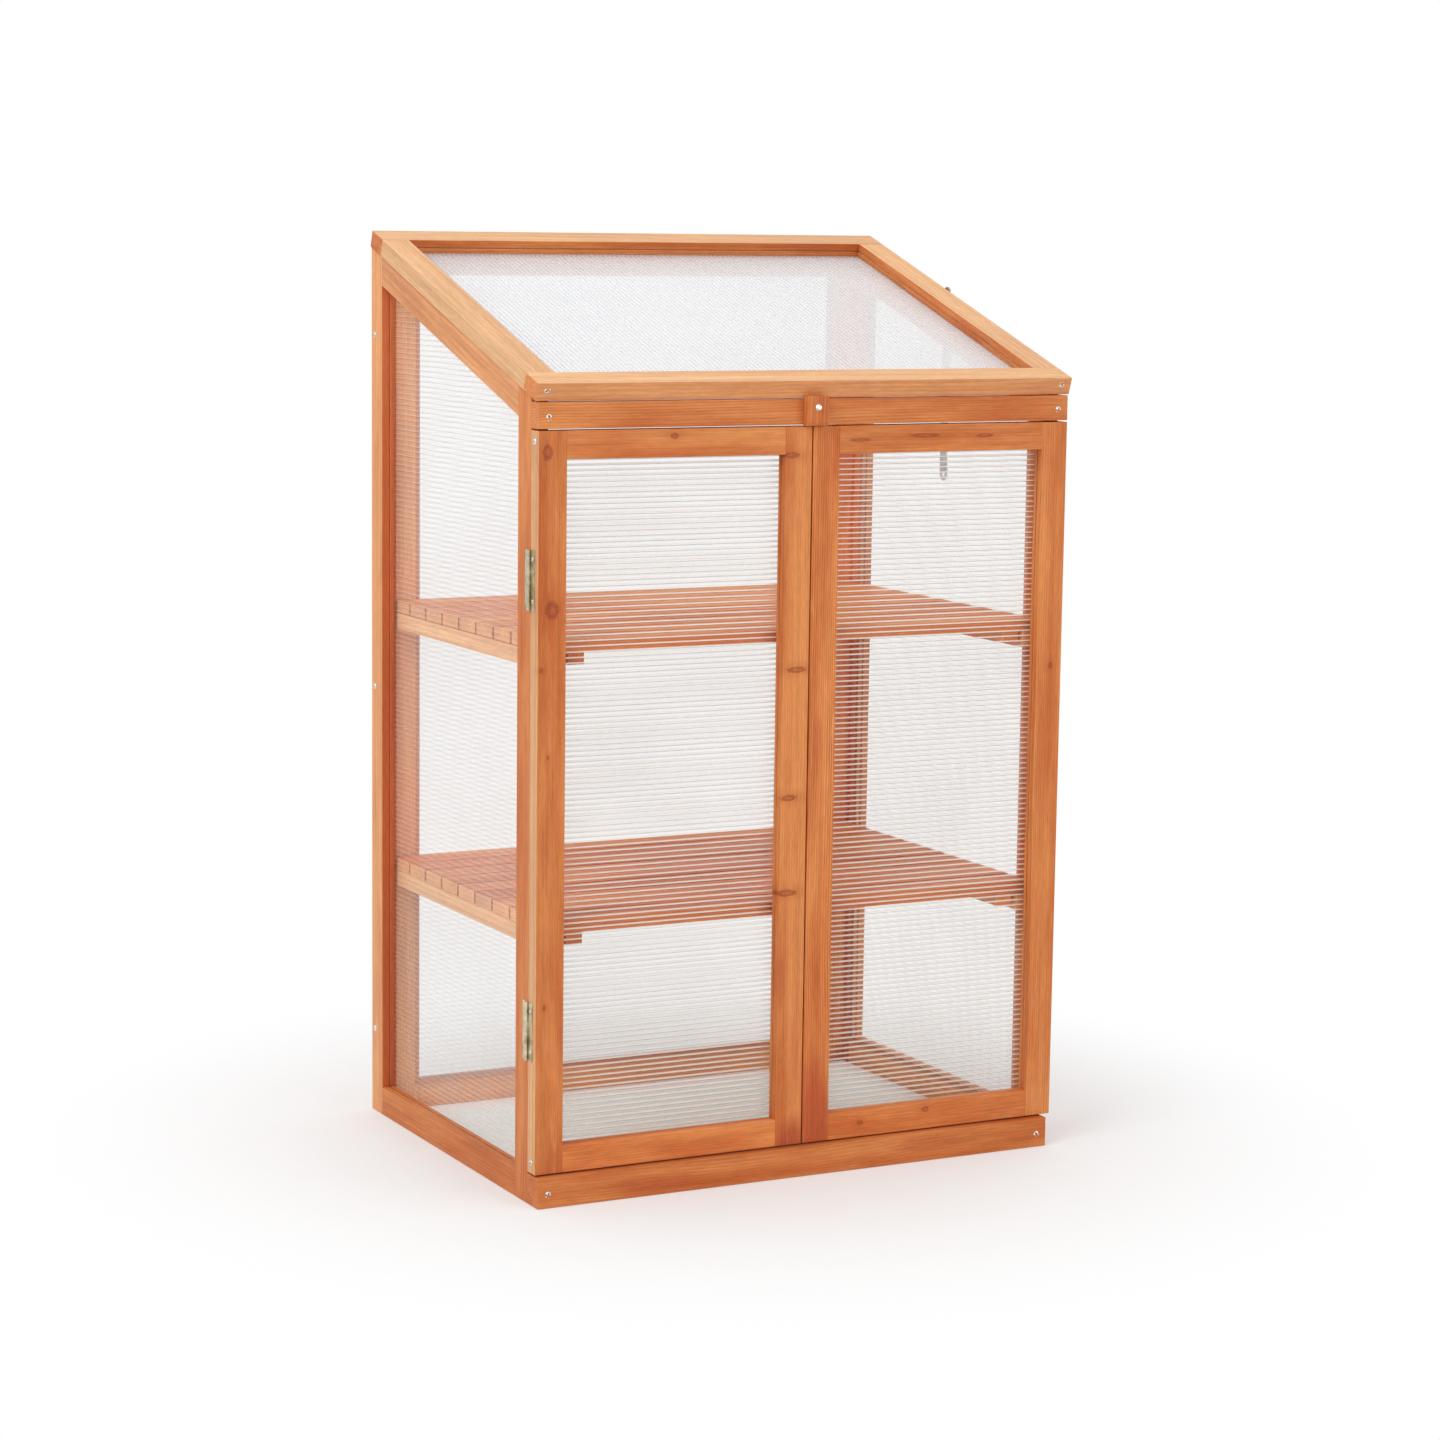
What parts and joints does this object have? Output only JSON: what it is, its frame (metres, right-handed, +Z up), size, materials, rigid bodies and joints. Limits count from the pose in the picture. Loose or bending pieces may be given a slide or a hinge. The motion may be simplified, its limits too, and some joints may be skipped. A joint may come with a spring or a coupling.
{
  "type": "mini greenhouse",
  "caption": "Wooden mini greenhouse with twin-wall sheets, hinged front doors held by a turn button, a sloped lid that lifts at the back and slatted shelves.",
  "frame": {"origin": "centre of the bounding box on the ground plane", "axes": "+Z up, the doors look toward -Y, +X to the right seen from the front"},
  "size_m": [0.715, 0.5268, 1.1139],
  "materials": {
    "frame_wood": "stained",
    "shelf_wood": "stained",
    "twin_wall_sheet": "clear ribbed",
    "hinge_metal": "plated",
    "screw_steel": "zinc plated"
  },
  "bodies": {
    "frame": {"back_bottom_rail": "frame_wood", "back_left_stile": "frame_wood", "back_right_stile": "frame_wood", "back_sheet": "twin_wall_sheet", "back_top_rail": "frame_wood", "door_hinge_pins": "hinge_metal", "frame_screws": "screw_steel", "front_bottom_rail": "frame_wood", "front_top_rail": "frame_wood", "left_hinge_frame_leaves": "hinge_metal", "left_hinge_frame_screws": "screw_steel", "left_side_bottom_rail": "frame_wood", "left_side_front_stile": "frame_wood", "left_side_rear_stile": "frame_wood", "left_side_sheet": "twin_wall_sheet", "left_side_top_rail": "frame_wood", "lid_hinge_frame_leaves": "hinge_metal", "lid_hinge_frame_screws": "screw_steel", "lid_hinge_pins": "hinge_metal", "right_hinge_frame_leaves": "hinge_metal", "right_hinge_frame_screws": "screw_steel", "right_side_bottom_rail": "frame_wood", "right_side_front_stile": "frame_wood", "right_side_rear_stile": "frame_wood", "right_side_sheet": "twin_wall_sheet", "right_side_top_rail": "frame_wood", "shelf_cleats": "shelf_wood", "stay_peg": "screw_steel", "turn_button_screw": "screw_steel"},
    "left_door": {"left_door_bottom_rail": "frame_wood", "left_door_edge_screws": "screw_steel", "left_door_hinge_stile": "frame_wood", "left_door_meeting_stile": "frame_wood", "left_door_sheet": "twin_wall_sheet", "left_door_top_rail": "frame_wood", "left_hinge_door_leaves": "hinge_metal", "left_hinge_door_screws": "screw_steel"},
    "right_door": {"right_door_bottom_rail": "frame_wood", "right_door_edge_screws": "screw_steel", "right_door_hinge_stile": "frame_wood", "right_door_meeting_stile": "frame_wood", "right_door_sheet": "twin_wall_sheet", "right_door_top_rail": "frame_wood", "right_hinge_door_leaves": "hinge_metal", "right_hinge_door_screws": "screw_steel"},
    "lid": {"lid_back_rail": "frame_wood", "lid_front_rail": "frame_wood", "lid_hinge_lid_leaves": "hinge_metal", "lid_hinge_lid_screws": "screw_steel", "lid_left_rail": "frame_wood", "lid_right_rail": "frame_wood", "lid_screws": "screw_steel", "lid_sheet": "twin_wall_sheet", "stay_pivot_bolt": "screw_steel"},
    "turn_button": {"turn_button": "frame_wood"},
    "roof_stay": {"roof_stay": "screw_steel"},
    "upper_shelf": {"upper_shelf_battens": "shelf_wood", "upper_shelf_slats": "shelf_wood"},
    "lower_shelf": {"lower_shelf_battens": "shelf_wood", "lower_shelf_slats": "shelf_wood"}
  },
  "joints": [
    {"name": "left_door_hinge", "type": "hinge", "parent": "frame", "child": "left_door", "pos_m": [-0.355, -0.2267, 0.465], "axis": [0, 0, -1], "range_deg": [0, 175]},
    {"name": "right_door_hinge", "type": "hinge", "parent": "frame", "child": "right_door", "pos_m": [0.35, -0.2267, 0.465], "axis": [0, 0, 1], "range_deg": [0, 175]},
    {"name": "lid_hinge", "type": "hinge", "parent": "frame", "child": "lid", "pos_m": [-0.0025, 0.26095, 1.0966], "axis": [-1, 0, 0], "range_deg": [0, 80]},
    {"name": "turn_button_pivot", "type": "hinge", "parent": "frame", "child": "turn_button", "pos_m": [-0.0025, -0.25455, 0.91857], "axis": [0, 1, 0], "range_deg": [-90, 90]},
    {"name": "roof_stay_pivot", "type": "hinge", "parent": "lid", "child": "roof_stay", "pos_m": [0.3538, 0.05044, 1.04249], "axis": [-1, 0, 0], "range_deg": [-100, 100]},
    {"name": "upper_shelf_lift", "type": "slide", "parent": "frame", "child": "upper_shelf", "axis": [0, 0, 1], "range_m": [0, 0.12]},
    {"name": "lower_shelf_lift", "type": "slide", "parent": "frame", "child": "lower_shelf", "axis": [0, 0, 1], "range_m": [0, 0.12]}
  ]
}
